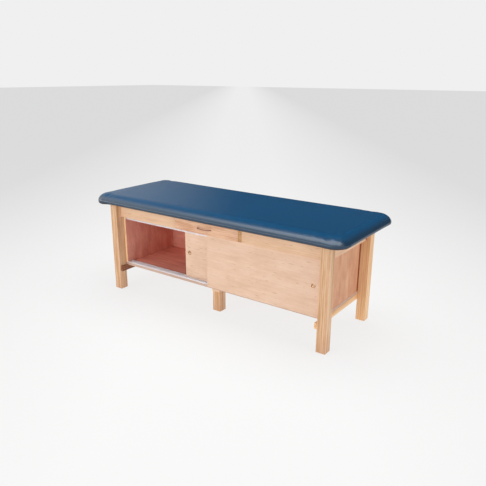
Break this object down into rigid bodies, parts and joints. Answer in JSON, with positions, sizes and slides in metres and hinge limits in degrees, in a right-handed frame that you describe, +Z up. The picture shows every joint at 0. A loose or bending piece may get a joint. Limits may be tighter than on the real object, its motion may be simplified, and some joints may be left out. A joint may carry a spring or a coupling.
{
  "type": "medical exam table",
  "caption": "Wooden exam and treatment table: padded vinyl top on square legs, with a drawer and a low cabinet closed by bypass sliding doors.",
  "frame": {"origin": "on the floor under the middle of the table", "axes": "+X along the table's length, towards the end where the closed door is; -Y towards the side with the doors and the drawer; +Z up"},
  "size_m": [2.0294, 0.7746, 0.7506],
  "materials": {
    "leg_wood": "satin",
    "apron_wood": "satin",
    "drawer_wood": "satin",
    "post_wood": "satin",
    "door_wood": "satin",
    "panel_wood": "satin",
    "inner_wood": "matte",
    "aluminium": "satin",
    "steel": "satin",
    "brass": "satin",
    "dark_bronze": "satin",
    "nylon": "matte",
    "blue_vinyl": "satin",
    "foam": "matte"
  },
  "bodies": {
    "frame": {"leg_front_left": "leg_wood", "corner_block_front_left": "inner_wood", "leg_front_right": "leg_wood", "corner_block_front_right": "inner_wood", "glide_front_left": "nylon", "glide_front_right": "nylon", "glide_front_centre": "nylon", "centre_leg_front": "leg_wood", "leg_back_left": "leg_wood", "corner_block_back_left": "inner_wood", "leg_back_right": "leg_wood", "corner_block_back_right": "inner_wood", "glide_back_left": "nylon", "glide_back_right": "nylon", "glide_back_centre": "nylon", "centre_leg_back": "leg_wood", "centre_rail": "apron_wood", "end_rail_left": "post_wood", "panel_cleat_left": "post_wood", "apron_left": "apron_wood", "apron_front_left": "apron_wood", "cabinet_panel_left": "panel_wood", "drawer_slide_fixed_left": "steel", "end_rail_right": "post_wood", "panel_cleat_right": "post_wood", "apron_right": "apron_wood", "apron_front_right": "apron_wood", "cabinet_panel_right": "panel_wood", "drawer_slide_fixed_right": "steel", "apron_back": "apron_wood", "drawer_rail_right": "post_wood", "drawer_rail_left": "apron_wood", "cabinet_bottom": "door_wood", "cabinet_top": "inner_wood", "cabinet_back": "inner_wood", "door_track_bottom": "aluminium", "door_track_top": "aluminium", "pad_cover": "blue_vinyl", "pad_foam": "foam", "pad_board": "inner_wood"},
    "right_door": {"right_door_panel": "door_wood", "right_door_finger_cup": "brass", "right_door_shoe_bottom_left": "nylon", "right_door_shoe_bottom_right": "nylon", "right_door_shoe_top_left": "nylon", "right_door_shoe_top_right": "nylon"},
    "left_door": {"left_door_panel": "door_wood", "left_door_finger_cup": "brass", "left_door_edge_glide_left": "nylon", "left_door_edge_glide_right": "nylon"},
    "drawer": {"drawer_front": "drawer_wood", "drawer_bottom": "inner_wood", "drawer_side_left": "apron_wood", "drawer_side_right": "apron_wood", "drawer_back": "apron_wood", "drawer_pull": "dark_bronze", "drawer_pull_screw_left": "steel", "drawer_pull_screw_right": "steel", "drawer_slide_moving_left": "steel", "drawer_slide_moving_right": "steel"}
  },
  "joints": [
    {"name": "right_door_slide", "type": "slide", "parent": "frame", "child": "right_door", "axis": [-1, 0, 0], "range_m": [0, 0.815]},
    {"name": "left_door_slide", "type": "slide", "parent": "frame", "child": "left_door", "axis": [1, 0, 0], "range_m": [-0.57, 0.225]},
    {"name": "drawer_slide", "type": "slide", "parent": "frame", "child": "drawer", "axis": [0, -1, 0], "range_m": [0, 0.36]}
  ]
}
